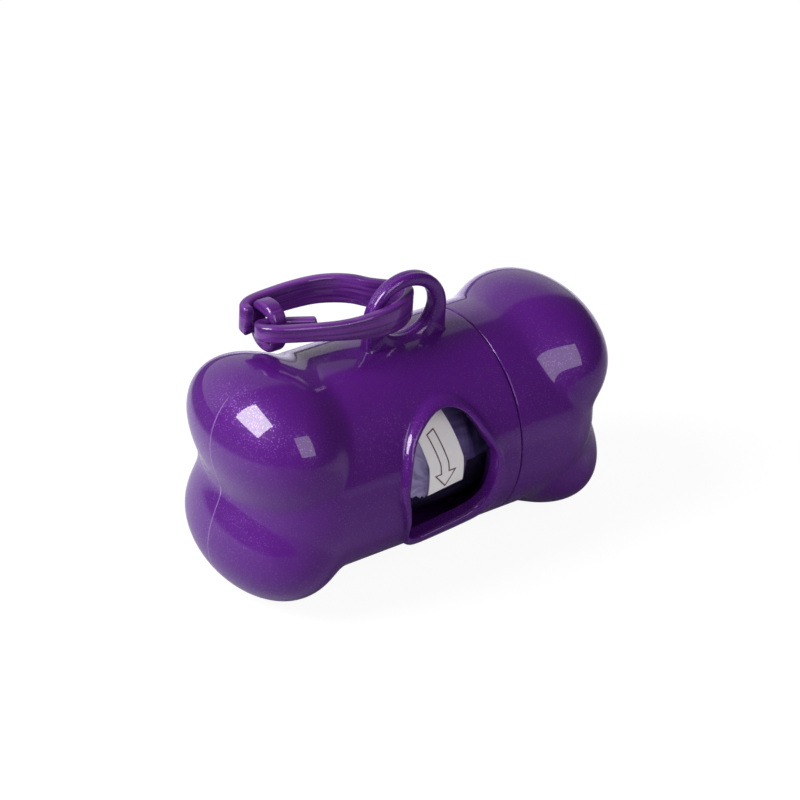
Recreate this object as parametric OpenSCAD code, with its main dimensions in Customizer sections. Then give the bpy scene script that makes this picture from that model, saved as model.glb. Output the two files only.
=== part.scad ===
// Bone-shaped dispenser for a roll of waste bags.
// Frame: X along the bone towards the screw cap, -Y is the side with the bag window,
// +Z up. The origin is on the surface the bone stands on, below its middle.

/* [Bone] */
// Radius of the round shaft
shaft_r = 20; // [18:0.5:24]
// From the middle of the bone to the centre of each rounded end
end_x = 25.1; // [23:0.1:32]
// How far the flat of each end bulges out beyond that centre
end_bulge = 13.4; // [11:0.1:16]
// How far each lobe's centre lies beyond the end's centre
lobe_out = 5; // [3:0.1:6]
// Height of each lobe's centre above or below the bone's axis
lobe_rise = 10.5; // [9:0.1:12]
// Half size of a lobe along the bone
lobe_rx = 11; // [9:0.1:12]
// Half size of a lobe across the bone
lobe_ry = 18.3; // [16:0.1:20]
// Half size of a lobe upwards
lobe_rz = 11.8; // [10.8:0.1:13]
// Width over which the crease between two lobes is softened
crease_blend = 1.4; // [0.5:0.1:4]
// Width over which the lobes run into the shaft
shaft_blend = 4.4; // [2:0.1:8]
// Wall of the moulded shells
wall = 1.6; // [1.2:0.1:2]

/* [Window] */
// Height of the window's middle above the bone's axis
window_rise = 2; // [0:0.1:5]
// Distance of the window's middle from the bone's middle, towards the closed end
window_back = 2.6; // [0:0.1:6]
// Width of the raised lip around the window
lip_w = 1.5; // [1.2:0.1:3]
// How much wider the lip is below the window
lip_low = 1.7; // [0:0.1:3]
// Height of that lip above the shaft
lip_h = 1.3; // [0.8:0.1:2]
// Rounding of the lip's edges
lip_edge = 0.5; // [0.2:0.1:0.7]

/* [Screw cap] */
// Where the cap meets the body, from the bone's middle
parting_x = 13.3; // [12:0.1:15]
// Gap that shows as the parting line
parting_gap = 0.2; // [0.1:0.05:0.4]
// Bevel on both sides of the parting line
rim_edge = 0.25; // [0.1:0.05:0.5]
// Length of the neck inside the cap
neck_len = 7.6; // [6:0.1:9]
// Length of the neck's root inside the body
root_len = 5; // [3:0.1:7]
// Wall of the neck
neck_wall = 1.3; // [0.9:0.1:1.5]
// Wall of the collar that runs on the neck
collar_wall = 1.1; // [0.8:0.1:1.4]
// Play between the neck and the collar
neck_play = 0.1; // [0.05:0.05:0.2]
// Gap of a glued ring in its shell
glue_gap = 0.15; // [0.1:0.05:0.3]

/* [Eyelet] */
// Outside radius of the eyelet's round head
eyelet_r = 8.7; // [7.5:0.1:9.5]
// Radius of the hole that the clip passes through
eyelet_hole_r = 5.3; // [5.2:0.1:6]
// Height of the hole's centre above the shaft
eyelet_rise = 5.3; // [5:0.1:7]
// Thickness of the eyelet
eyelet_t = 3; // [2.4:0.1:3.2]
// How far the centre of the round head lies below the hole's
eyelet_drop = 0.8; // [0:0.1:1]
// How far it lies from the hole's towards the closed end
eyelet_back = 0.4; // [0:0.1:0.6]
// Bevel on the eyelet's outer edges
eyelet_edge = 0.5; // [0.2:0.1:0.7]

/* [Clip] */
// Thickness of the clip's strap
strap_t = 1.9; // [1.6:0.1:2.1]
// Rounding of the strap's four edges
strap_edge = 0.6; // [0.3:0.1:0.8]
// Half width of the eye at the end of the rear arm
eye_half_w = 4.2; // [4:0.1:4.6]
// Half height of the eye
eye_half_h = 4.8; // [4.6:0.1:5.2]
// Depth of the eye along the bone
eye_depth = 3; // [2.4:0.1:3.4]
// Bevel on the eye's edges
eye_edge = 0.6; // [0.2:0.1:0.9]
// Width of the eye's hole
eye_hole_w = 5.3; // [5:0.1:5.6]
// Height of the eye's hole
eye_hole_h = 4.8; // [4.6:0.1:5.2]
// Rounding of the hole's corners
eye_hole_round = 0.8; // [0.2:0.1:1.5]

/* [Bag roll] */
// Length of the roll
roll_len = 60; // [56:0.5:62]
// Gap left between the drawn-in film and the neck below it
roll_play = 0.05; // [0.05:0.05:1]
// How far the loose outer turn stays inside the shell
loose_play = 1.9; // [1.6:0.1:3]
// Thickness of the folded film in that turn
film_t = 0.5; // [0.4:0.1:0.8]
// Where the loose turn ends, as an angle below the level of the axis
flap_angle = 6; // [0:1:30]
// How much higher that end is cut for each mm towards the cap, in degrees
flap_slant = 0.5; // [0:0.1:0.8]
// How far the loose turn runs over the top before it lies on the roll
loose_sweep = 300; // [200:10:330]
// Slack that the loose turn keeps at the closed end
end_slack = 0.8; // [0:0.1:1.5]
// Length over which it is drawn in at the closed end
end_draw = 8; // [4:0.5:12]
// Length over which it is drawn in towards the neck
neck_draw = 3.7; // [2:0.1:6]
// Outside radius of the cardboard core
core_r = 7; // [6:0.1:9]
// Wall of the core
core_wall = 1; // [0.6:0.1:1.4]
// How far the roll's axis lies below the bone's axis
roll_drop = 0.7; // [0:0.1:0.7]
// Width of the paper label that holds the first bag
label_w = 7.6; // [6:0.1:10]
// Thickness of the label
label_t = 0.3; // [0.2:0.05:0.4]
// Where the label's middle lies along the bone
label_x = -1.3; // [-6:0.1:6]

/* [Hidden] */

violet = [0.28, 0.10, 0.45];
violet_deep = [0.20, 0.07, 0.36];
film_colour = [0.42, 0.34, 0.62];

axis_z = lobe_rise + lobe_rz;            // height of the bone's axis over the surface
seat_r = shaft_r - wall;                 // inside radius of the shaft
end_rings = 24;                          // rings of facets from an end to the middle
ring_sides = 48;                         // facets around the bone
far = 200;                               // larger than anything here
film_gap = 0.05;                         // between layers that lie on each other
roll_room = 0.3;                         // the film is drawn in this far before the neck
chord = seat_r * (1 - cos(180 / ring_sides));  // how far a facet lies inside the true curve
ring_r = seat_r - chord - glue_gap;      // outside of a ring that is glued into a shell
neck_r = ring_r - collar_wall - neck_play;
bore_r = neck_r - neck_wall;
roll_r = bore_r - roll_drop - film_t - film_gap - roll_play;   // the tightly wound roll
loose_r = seat_r - loose_play;           // the loose outer turn

// ---------- the bone's skin ----------

// The larger of a and b, with the corner between them softened over the width k
function soft_max(a, b, k) =
    let (h = max(k - abs(a - b), 0) / k) max(a, b) + h * h * k / 4;

// From the end's centre to a lobe's skin along the unit direction u.
// side is +1 for the upper lobe and -1 for the lower, inset moves the skin inwards.
function lobe_reach(u, side, inset) =
    let (r = [lobe_rx - inset, lobe_ry - inset, lobe_rz - inset],
         d = [u.x / r.x, u.y / r.y, u.z / r.z],
         o = [-lobe_out / r.x, 0, -side * lobe_rise / r.z],
         a = d * d, b = d * o, c = o * o - 1,
         disc = b * b - a * c)
    disc < 0 ? 0 : (sqrt(disc) - b) / a;

// From the end's centre to the shaft, or to the end's own bulge
function shaft_reach(u, inset) =
    let (across = norm([u.y, u.z]))
    u.x < 0 ? (shaft_r - inset) / across
            : 1 / norm([across / (shaft_r - inset), u.x / (end_bulge - inset)]);

function end_reach(u, inset) =
    soft_max(soft_max(lobe_reach(u, 1, inset), lobe_reach(u, -1, inset), crease_blend),
             shaft_reach(u, inset), shaft_blend);

// Point on the bone's skin: side is +1 for the cap end, polar runs from the tip of that
// end, around is the angle about the bone's axis.
function skin_point(side, polar, around, inset) =
    let (u = [cos(polar), sin(polar) * cos(around), sin(polar) * sin(around)],
         reach = end_reach(u, inset))
    [side * (end_x + reach * u.x), reach * u.y, axis_z + reach * u.z];

// Half of the hollow bone, from the tip of one end to the plane x = to_x. end is +1 for the
// cap's end and -1 for the closed end; side is -1 for the front half and +1 for the rear.
// The outer and the inner skin are two grids of points, joined along the weld plane and
// along the mouth, whose outer edge is bevelled.
module half_shell(end, side, to_x) {
    rim_x = to_x + end * rim_edge;
    function stop(inset) = 180 - atan2(shaft_r - inset, end_x - end * rim_x);
    function around(j) = 90 - side * j * 360 / ring_sides;
    row = ring_sides / 2 + 1;
    rings = end_rings + 1;
    skin_size = rings * row + 1;
    points = [for (skin = [[0, rim_edge], [wall, wall]]) each concat(
        [skin_point(end, 0, 0, skin[0])],
        [for (i = [1 : end_rings], j = [0 : row - 1])
            skin_point(end, stop(skin[0]) * i / end_rings, around(j), skin[0])],
        [for (j = [0 : row - 1], r = [shaft_r - skin[1]])
            [to_x, r * cos(around(j)), axis_z + r * sin(around(j))]])];
    function at(skin, i, j) = skin * skin_size + (i == 0 ? 0 : 1 + (i - 1) * row + j);
    function quad(a, b, c, d) = a == d ? [[a, b, c]] : [[a, b, c], [a, c, d]];
    function turn(face, flip) = flip ? [face[2], face[1], face[0]] : face;
    out = end * side < 0;
    skins = [for (skin = [0, 1], i = [0 : rings - 1], j = [0 : row - 2])
        for (f = quad(at(skin, i, j), at(skin, i + 1, j), at(skin, i + 1, j + 1), at(skin, i, j + 1)))
            turn(f, out == (skin == 0))];
    welds = [for (j = [0, row - 1], i = [0 : rings - 1])
        for (f = quad(at(0, i, j), at(0, i + 1, j), at(1, i + 1, j), at(1, i, j)))
            turn(f, out == (j > 0))];
    mouth = [for (j = [0 : row - 2])
        for (f = quad(at(0, rings, j), at(0, rings, j + 1),
                      at(1, rings, j + 1), at(1, rings, j)))
            turn(f, !out)];
    polyhedron(points = points, faces = concat(skins, welds, mouth));
}

// A ring about the bone's axis; profile holds [x, radius] points
module turned(profile) {
    translate([0, 0, axis_z]) rotate([90, 0, 90])
        rotate_extrude($fn = 96) polygon([for (p = profile) [p[1], p[0]]]);
}

// ---------- body ----------

// Circles whose hull is the window as seen from the front: [x, height, radius]. It is an
// upright egg with its straighter side towards the closed end and a corner low on that side.
window_circles = [[0.2, 5.3, 6.6], [-1.2, 3.4, 7.6], [-3.6, 0, 6.2], [3.7, 0, 6.1],
                  [2.8, -4, 6.5], [-5, -8.7, 3.6]];

// The hull's outline, grown by grow, and drawn down and away from the closed end by drop at
// its lower side: for each angle that the outline faces, the circle that reaches furthest
// that way gives the point.
function hull_points(grow, drop) =
    let (moved = [for (c = window_circles, low = [c[1] < -2 ? drop : 0])
                      [[c[0] + low * 0.8, c[1] - low], c[2] + grow]])
    [for (a = [0 : 2 : 358])
        let (facing = [cos(a), sin(a)], reach = [for (m = moved) m[0] * facing + m[1]],
             m = moved[search(max(reach), reach)[0]])
        m[0] + m[1] * facing];

// Where rays from the window's middle, every 5 degrees from the angle start, cross an outline
function ray_points(outline, start) =
    [for (a = [start : 5 : 359.9])
        let (ray = [cos(a), sin(a)], n = len(outline))
        [for (i = [0 : n - 1])
            let (p = outline[i], q = outline[(i + 1) % n], u = cross(ray, p), v = cross(ray, q))
            if (u <= 0 && v > 0 && ray * p > 0)
                p - (q - p) * u / (v - u) + [-window_back, window_rise]][0]];

// Straight cut through the front of the shaft with the window's outline
module window_cut() {
    rotate([90, 0, 0]) linear_extrude(far / 2) translate([0, axis_z])
        polygon(ray_points(hull_points(0, 0), 0));
}

// Raised lip round the window, before the window is cut. Its section is a bar with rounded
// upper edges, given as [outline it is measured from: 0 the window's, 1 the lip's, distance
// from that outline towards the other, height above the shaft].
module window_lip() {
    foot = -wall / 2;
    lip_spare = wall / 4;                // cut away with the window
    round = [for (a = [0, 30, 60, 90]) [lip_edge * (1 - cos(a)), lip_h - lip_edge * (1 - sin(a))]];
    section = concat([for (h = [foot, round[1][1]]) [0, -lip_spare, h]],
                     [for (a = [1 : 3]) [0, round[a][0], round[a][1]]],
                     [for (a = [3 : -1 : 0]) [1, round[a][0], round[a][1]]], [[1, 0, foot]]);
    rows = len(section);
    inner = ray_points(hull_points(0, 0), 2.5);
    outer = ray_points(hull_points(lip_w, lip_low), 2.5);
    points = [for (k = [0 : len(inner) - 1])
        let (across = (outer[k] - inner[k]) / norm(outer[k] - inner[k]))
        for (q = section)
            let (p = q[0] == 0 ? inner[k] + q[1] * across : outer[k] - q[1] * across)
            [p[0], -sqrt(pow(shaft_r + q[2], 2) - p[1] * p[1]), axis_z + p[1]]];
    faces = [for (k = [0 : len(inner) - 1], i = [0 : rows - 1])
        let (next = (k + 1) % len(inner) * rows, up = (i + 1) % rows,
             a = k * rows + i, b = k * rows + up, c = next + up, d = next + i)
        each [[a, c, b], [a, d, c]]];
    polyhedron(points = points, faces = faces);
}

// The eyelet's outline, drawn in by inset: a round head on straight legs, cut off inside
// the shaft's wall
module eyelet_outline(inset) {
    intersection() {
        translate([-eyelet_back, shaft_r + eyelet_rise - eyelet_drop]) hull()
            for (down = [0, eyelet_r]) translate([0, -down]) circle(r = eyelet_r - inset, $fn = 64);
        translate([-far / 2, shaft_r - wall / 2]) square(far);
    }
}

// The half of the eyelet that is moulded with one shell, with bevelled edges
module eyelet_half(side) {
    full = eyelet_t / 2 - eyelet_edge;
    translate([0, 0, axis_z]) rotate([side < 0 ? 90 : -90, 0, 0]) mirror([0, side < 0 ? 0 : 1, 0])
        difference() {
            hull() {
                linear_extrude(full) eyelet_outline(0);
                linear_extrude(eyelet_t / 2) eyelet_outline(eyelet_edge);
            }
            translate([0, shaft_r + eyelet_rise, 0]) {
                translate([0, 0, -1]) cylinder(r = eyelet_hole_r, h = eyelet_t, $fn = 64);
                translate([0, 0, full]) cylinder(r1 = eyelet_hole_r, h = 2 * eyelet_edge,
                                                 r2 = eyelet_hole_r + 2 * eyelet_edge, $fn = 64);
            }
        }
}

module body_front_shell() {
    color(violet) difference() {
        union() {
            half_shell(-1, -1, parting_x - parting_gap / 2);
            window_lip();
            eyelet_half(-1);
        }
        window_cut();
    }
}

module body_rear_shell() {
    color(violet) union() {
        half_shell(-1, 1, parting_x - parting_gap / 2);
        eyelet_half(1);
    }
}

// Ring glued into the body's mouth; its neck carries the cap's collar
module neck_ring() {
    step_x = parting_x - parting_gap / 2;
    color(violet_deep) turned([[parting_x - root_len, bore_r], [parting_x + neck_len, bore_r],
                               [parting_x + neck_len, neck_r], [step_x, neck_r],
                               [step_x, ring_r], [parting_x - root_len, ring_r]]);
}

// ---------- cap ----------

module cap_front_shell() {
    color(violet) half_shell(1, -1, parting_x + parting_gap / 2);
}

module cap_rear_shell() {
    color(violet) half_shell(1, 1, parting_x + parting_gap / 2);
}

// Collar glued into the cap; it turns and travels on the neck
module cap_collar() {
    inner = neck_r + neck_play;
    low = parting_x + parting_gap / 2;
    high = low + neck_len;
    color(violet_deep) turned([[low, inner], [high, inner], [high, ring_r], [low, ring_r]]);
}

// ---------- bag roll ----------

// A tube about the roll's axis from x = low to x = high
module roll_tube(low, high, inner, outer) {
    translate([low, 0, axis_z - roll_drop]) rotate([0, 90, 0]) difference() {
        cylinder(r = outer, h = high - low, $fn = 96);
        translate([0, 0, -1]) cylinder(r = inner, h = high - low + 2, $fn = 96);
    }
}

// Film wound over the top of the roll from the flap for the angle sweep, lift above the
// loose turn and thick. stations hold [x, radius at the flap, how much higher the flap is cut
// there]; from the flap the radius shrinks evenly, so that the loose turn ends on the roll.
module wound_film(stations, lift, thick, sweep) {
    steps = ceil(sweep / 7.5);
    across = len(stations);
    skin_size = across * (steps + 1);
    function at(skin, i, k) = skin * skin_size + i * (steps + 1) + k;
    function quad(a, b, c, d) = [[a, b, c], [a, c, d]];
    points = [for (rise = [lift, lift + thick], s = stations, k = [0 : steps])
        let (turned = sweep * k / steps, left = 1 - turned / loose_sweep,
             angle = turned - flap_angle + s[2] * left,
             r = (s[1] - roll_r - film_gap) * left + roll_r + film_gap + rise)
        [s[0], -r * cos(angle), axis_z - roll_drop + r * sin(angle)]];
    skins = [for (i = [0 : across - 2], k = [0 : steps - 1])
        for (f = concat(quad(at(0, i, k), at(0, i + 1, k), at(0, i + 1, k + 1), at(0, i, k + 1)),
                        quad(at(1, i, k), at(1, i, k + 1), at(1, i + 1, k + 1), at(1, i + 1, k)))) f];
    sides = [for (k = [0 : steps - 1])
        for (f = concat(quad(at(0, 0, k), at(0, 0, k + 1), at(1, 0, k + 1), at(1, 0, k)),
                        quad(at(0, across - 1, k), at(1, across - 1, k),
                             at(1, across - 1, k + 1), at(0, across - 1, k + 1)))) f];
    ends = [for (i = [0 : across - 2])
        for (f = concat(quad(at(0, i, 0), at(1, i, 0), at(1, i + 1, 0), at(0, i + 1, 0)),
                        quad(at(0, i, steps), at(0, i + 1, steps),
                             at(1, i + 1, steps), at(1, i, steps)))) f];
    polyhedron(points = points, faces = concat(skins, sides, ends));
}

module roll_core() {
    color("tan") roll_tube(-roll_len / 2, roll_len / 2, core_r - core_wall, core_r);
}

module bag_roll() {
    color(film_colour) roll_tube(-roll_len / 2, roll_len / 2, core_r + film_gap, roll_r);
}

// The first bag, wound loosely: its free end shows in the window, and it is drawn in
// where it passes through the neck
module loose_bag() {
    end = roll_len / 2;
    neck_start = parting_x - root_len - roll_room;
    tight = roll_r + film_gap;
    color(film_colour) wound_film(concat(
        [[-end, tight + end_slack, -label_skew], [-end + end_draw, loose_r - film_t, -label_skew]],
        label_stations,
        [[neck_start - neck_draw, loose_r - film_t, label_skew], [neck_start, tight, label_skew],
         [end, tight, label_skew]]), 0, film_t, loose_sweep);
}

// Paper strip on the loose end, cut off with it
label_skew = flap_slant * label_w / 2;
label_stations = [for (s = [-1, 1]) [label_x + s * label_w / 2, loose_r - film_t, s * label_skew]];

module roll_label() {
    color("white") wound_film(label_stations, film_t + film_gap, label_t, loose_sweep * 0.8);
}

// ---------- clip ----------

// The strap's course, from the tip of its hook to the eye: [x, y, height above the shaft,
// height of the strap]. It is bent from one flat strap, and the loop passes through the
// eyelet.
strap_course = [
    [-17.1, 4.2, 5.5, 2.8], [-20.5, 5.8, 5.5, 3], [-24, 7.2, 5.6, 3.1], [-26.6, 7.1, 6, 3.1],
    [-27.3, 5, 6.5, 3.2], [-26, 2.9, 6.9, 3.2], [-23.2, 1.3, 7, 3.2], [-19.8, -0.2, 7, 3.3],
    [-16, -1.8, 7, 3.6], [-12.4, -2.7, 6.9, 4.2], [-8.5, -3.1, 6.8, 5], [-4.6, -2.7, 6.7, 5.5],
    [-1.3, -1.2, 6.7, 5.6], [0.9, 0.9, 6.7, 5.6], [0.7, 3, 6.7, 5.6], [-1.4, 4.9, 6.7, 5.6],
    [-3.5, 6.9, 6.7, 5.6], [-5.4, 9.4, 6.7, 5.6], [-8, 11.5, 6.6, 5.6], [-11.4, 12.8, 6.6, 5.5],
    [-16, 13.3, 6.6, 5.4], [-21, 13.2, 6.6, 5.3], [-25, 12.6, 6.6, 5.4], [-27.1, 11.4, 6.5, 5.5],
    [-27.2, 9.9, 6.3, 5.6]];
course_steps = 3;                        // rings between two course points

// Smooth curve through the course (Catmull-Rom): t counts course points
function course_at(t) =
    let (last = len(strap_course) - 1,
         i = min(floor(t), last - 1), f = t - i,
         a = strap_course[max(i - 1, 0)], b = strap_course[i],
         c = strap_course[i + 1], d = strap_course[min(i + 2, last)])
    0.5 * (2 * b + (c - a) * f + (2 * a - 5 * b + 4 * c - d) * f * f
           + (3 * b - a - 3 * c + d) * f * f * f);

// Rounded rectangle of the strap's section: [across, up] for a strap h high
function strap_section(h) =
    [for (corner = [[1, 1, 0], [-1, 1, 90], [-1, -1, 180], [1, -1, 270]], turn = [0, 45, 90])
        [corner[0] * (strap_t / 2 - strap_edge) + strap_edge * cos(corner[2] + turn),
         corner[1] * (h / 2 - strap_edge) + strap_edge * sin(corner[2] + turn)]];

module strap() {
    last = (len(strap_course) - 1) * course_steps;
    stations = [for (k = [0 : last]) course_at(k / course_steps)];
    sides = 12;
    function heading(k) =
        let (v = stations[min(k + 1, last)] - stations[max(k - 1, 0)]) [v.x, v.y] / norm([v.x, v.y]);
    points = [for (k = [0 : last])
        let (s = stations[k], dir = heading(k))
        for (q = strap_section(s[3]))
            [s[0] - dir.y * q[0], s[1] + dir.x * q[0], axis_z + shaft_r + s[2] + q[1]]];
    walls = [for (k = [0 : last - 1], j = [0 : sides - 1], half = [0, 1])
        let (a = k * sides + j, b = k * sides + (j + 1) % sides)
        half == 0 ? [a, a + sides, b + sides] : [a, b + sides, b]];
    ends = [[for (j = [0 : sides - 1]) j], [for (j = [sides - 1 : -1 : 0]) last * sides + j]];
    polyhedron(points = points, faces = concat(walls, ends));
}

eye_x = -25.5;                           // the eye's face towards the closed end
eye_y = 8.3;                             // middle of the eye across the bone
eye_rise = 5.4;                          // middle of the eye above the shaft

module eye_outline(inset) {
    hull() for (s = [-1, 1])
        translate([0, s * (eye_half_h - eye_half_w)]) circle(r = eye_half_w - inset, $fn = 48);
}

// Eye at the end of the rear arm: it stands square to the bone's axis
module eye() {
    flat = [eye_hole_w - 2 * eye_hole_round, eye_hole_h - 2 * eye_hole_round];
    translate([eye_x, eye_y, axis_z + shaft_r + eye_rise]) rotate([90, 0, 90]) difference() {
        hull() {
            linear_extrude(eye_depth) eye_outline(eye_edge);
            translate([0, 0, eye_edge]) linear_extrude(eye_depth - 2 * eye_edge) eye_outline(0);
        }
        translate([0, 0, -1]) linear_extrude(eye_depth + 2)
            offset(r = eye_hole_round, $fn = 24) square(flat, center = true);
    }
}

module clip() {
    color(violet_deep) union() {
        strap();
        eye();
    }
}

body_front_shell();
body_rear_shell();
neck_ring();
cap_front_shell();
cap_rear_shell();
cap_collar();
roll_core();
bag_roll();
loose_bag();
roll_label();
clip();
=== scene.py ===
import math
import bmesh
import bpy
import numpy as np
from mathutils import Matrix


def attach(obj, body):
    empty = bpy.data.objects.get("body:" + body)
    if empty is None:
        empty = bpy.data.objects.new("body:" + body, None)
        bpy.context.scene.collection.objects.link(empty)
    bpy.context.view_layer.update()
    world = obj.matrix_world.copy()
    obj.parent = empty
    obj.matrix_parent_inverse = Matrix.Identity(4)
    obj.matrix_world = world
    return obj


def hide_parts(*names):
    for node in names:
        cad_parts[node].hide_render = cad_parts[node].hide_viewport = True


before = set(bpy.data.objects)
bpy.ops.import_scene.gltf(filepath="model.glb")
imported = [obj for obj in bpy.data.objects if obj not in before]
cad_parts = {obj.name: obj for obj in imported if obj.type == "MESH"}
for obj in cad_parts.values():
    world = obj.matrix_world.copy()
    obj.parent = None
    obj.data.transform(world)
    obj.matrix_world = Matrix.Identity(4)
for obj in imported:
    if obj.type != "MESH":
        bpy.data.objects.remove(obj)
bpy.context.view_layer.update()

# ------------------------------------------------------------------------------------------
# Body, front shell. Half of the closed end and the shaft, moulded in glossy violet plastic
# with fine glitter and welded to the rear half. A rounded lip, wider at its foot, stands
# round the window that the bags are pulled through.
# ------------------------------------------------------------------------------------------
AXIS_Z = 22.3                    # the bone's axis over the table; sizes are mm, meshes metres
SHAFT_R, WALL = 20.0, 1.6
END_X, END_BULGE = 25.1, 13.4    # centre of the rounded end, and how far its middle bulges
LOBE_OUT, LOBE_RISE = 5.0, 10.5  # centre of a lobe from there: outwards, and up or down
LOBE_R = (11.0, 18.3, 11.8)
CREASE, RUN_IN = 1.4, 4.4        # softening between the lobes, and from them to the shaft
SKIN = 0.03                      # the visible skin lies this far inside the drawing's
TUBE_X = 16.5                    # nearer the middle than this the skin is a plain tube
PARTING_X, PARTING_GAP = 13.3, 0.2
MOUTH_EDGE = 0.25                # rounding of the edge at a shell's mouth
STEP = 1.25                      # degrees between columns round the bone
FRONT_TURN = np.arange(90, 270 + STEP / 2, STEP)   # from the top over -Y to the bottom
END_ROWS, TUBE_ROWS = 100, 36


def soft_max(a, b, k):
    """The larger of a and b, plus a parabola k/4 high that rounds the corner between them."""
    h = np.maximum(k - np.abs(a - b), 0) / k
    return np.maximum(a, b) + h * h * k / 4


def lobe_reach(ux, uy, uz, side, inset):
    """Distance from the end's centre to a lobe's ellipsoid along a unit vector, by the
    quadratic formula; side is 1 for the upper lobe and -1 for the lower."""
    rx, ry, rz = (r - inset for r in LOBE_R)
    dx, dy, dz = ux / rx, uy / ry, uz / rz
    ox, oz = -LOBE_OUT / rx, -side * LOBE_RISE / rz
    a, b, c = dx * dx + dy * dy + dz * dz, dx * ox + dz * oz, ox * ox + oz * oz - 1
    inside = b * b - a * c
    return np.where(inside < 0, 0, (np.sqrt(np.maximum(inside, 0)) - b) / a)


def end_reach(ux, uy, uz, inset):
    """Distance from the end's centre to the skin along a unit vector: the soft maximum of
    the two lobes and of the shaft's tube or the end's bulge, an ellipsoid."""
    lobes = soft_max(lobe_reach(ux, uy, uz, 1, inset), lobe_reach(ux, uy, uz, -1, inset), CREASE)
    across = np.hypot(uy, uz) + 1e-9
    tube = (SHAFT_R - inset) / across
    bulge = 1 / np.hypot(across / (SHAFT_R - inset), ux / (END_BULGE - inset))
    return soft_max(lobes, np.where(ux < 0, tube, bulge), RUN_IN)


def end_rows(end, around, inset, rows):
    """Grid over one rounded end: row 0 is the tip, the last row lies at TUBE_X, and polar
    angles between them are even. around holds angles about the axis (0 is +Y, 90 is +Z)."""
    last = math.pi - math.atan2(SHAFT_R - inset, END_X - TUBE_X)
    polar = np.linspace(0, last, rows)[:, None]
    turn = np.radians(around)[None, :]
    u = np.cos(polar) + 0 * turn, np.sin(polar) * np.cos(turn), np.sin(polar) * np.sin(turn)
    reach = end_reach(*u, inset)
    return np.stack([end * (END_X + reach * u[0]), reach * u[1], AXIS_Z + reach * u[2]], -1)


def ring_rows(profile, around):
    """Grid swept about the bone's axis: one row for each (x, radius) of the profile."""
    x, r = (np.array(column, float)[:, None] for column in zip(*profile))
    turn = np.radians(around)[None, :]
    return np.stack([x + 0 * turn, r * np.cos(turn), AXIS_Z + r * np.sin(turn)], -1)


def mouth_profile(end, to_x):
    """(x, radius) of the shell's mouth: a quarter circle from the skin to the flat face, and
    the inner edge."""
    quarter = np.linspace(0, math.pi / 2, 5)
    edge = [(to_x + end * MOUTH_EDGE * (1 - math.sin(a)),
             SHAFT_R - SKIN - MOUTH_EDGE * (1 - math.cos(a))) for a in quarter]
    return edge + [(to_x, SHAFT_R - WALL)]


def half_shell(end, around, to_x, window=None):
    """Grids of one half shell: rounded end, tube, mouth, the same inside, and the flat weld
    edges. window, if given, returns the grids that fill the tube's front instead."""
    grids, skins = [], []
    for inset in (SKIN, WALL):
        rows = end_rows(end, around, inset, END_ROWS)
        stop = to_x if inset == WALL else to_x + end * MOUTH_EDGE
        xs = np.linspace(end * TUBE_X, stop, TUBE_ROWS)
        tube = ring_rows([(x, SHAFT_R - inset) for x in xs], around)
        grids.append(rows)
        grids += window(xs, tube, inset) if window else [tube]
        skins.append(np.concatenate([rows, tube[1:]]))
    mouth = ring_rows(mouth_profile(end, to_x), around)
    grids.append(mouth)
    # the lower weld edge leaves the mouth's rounding out, so a small gap stays open there
    for column, rounding in ((0, mouth[1:-1, 0]), (-1, mouth[:0, -1])):
        outer = np.concatenate([skins[0][:, column], rounding])
        inner = skins[1][:, column]
        pad = np.repeat(inner[-1:], len(outer) - len(inner), 0)
        grids.append(np.stack([outer, np.concatenate([inner, pad])]))
    return grids


WINDOW_MID = (-2.6, 2.0)         # x, and height over the axis
WINDOW_CIRCLES = np.array([(0.2, 5.3, 6.6), (-1.2, 3.4, 7.6), (-3.6, 0, 6.2), (3.7, 0, 6.1),
                           (2.8, -4, 6.5), (-5, -8.7, 3.6)])   # x, height and radius
CIRCLE_BLEND = 0.35
LIP_W, LIP_LOW, LIP_H = 1.5, 1.7, 1.22             # width, how much wider below, height
LIP_FOOT = 0.45                                    # the lip runs out into the skin over this
LIP_SIDE = [(-0.20, 0.03), (-0.06, 0.13), (0.03, 0.32), (0.12, 0.62), (0.28, 0.92),
            (0.52, 1.12)]                          # (distance inwards, height) up the lip
LIP_CUT = [(0.50, 1.14), (0.26, 1.02), (0.10, 0.80), (0.02, 0.5), (0, 0.1), (0, -0.7),
           (0, -WALL)]                             # (share of the width, height) down the cut
ABOVE_WINDOW, BELOW_WINDOW = 28, 24                # degrees of plain tube


def window_outline(turn, grow, drop):
    """Smooth outline round circles: the point for each normal angle is the mean of the
    circles' own points there, weighted by exp(support / CIRCLE_BLEND)."""
    normal = np.stack([np.cos(turn), np.sin(turn)], -1)
    low = np.where(WINDOW_CIRCLES[:, 1] < -2, drop, 0)
    centre = WINDOW_CIRCLES[:, :2] + np.stack([0.8 * low, -low], -1)
    radius = WINDOW_CIRCLES[:, 2] + grow
    support = normal @ centre.T + radius
    weight = np.exp((support - support.max(1, keepdims=True)) / CIRCLE_BLEND)
    weight /= weight.sum(1, keepdims=True)
    return WINDOW_MID + weight @ centre + (weight @ radius)[:, None] * normal


def on_tube(x, height, radius):
    """Points on the front of a tube of that radius, from x and the height over the axis."""
    return np.stack([x, -np.sqrt(np.maximum(radius ** 2 - height ** 2, 0)), AXIS_Z + height], -1)


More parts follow.
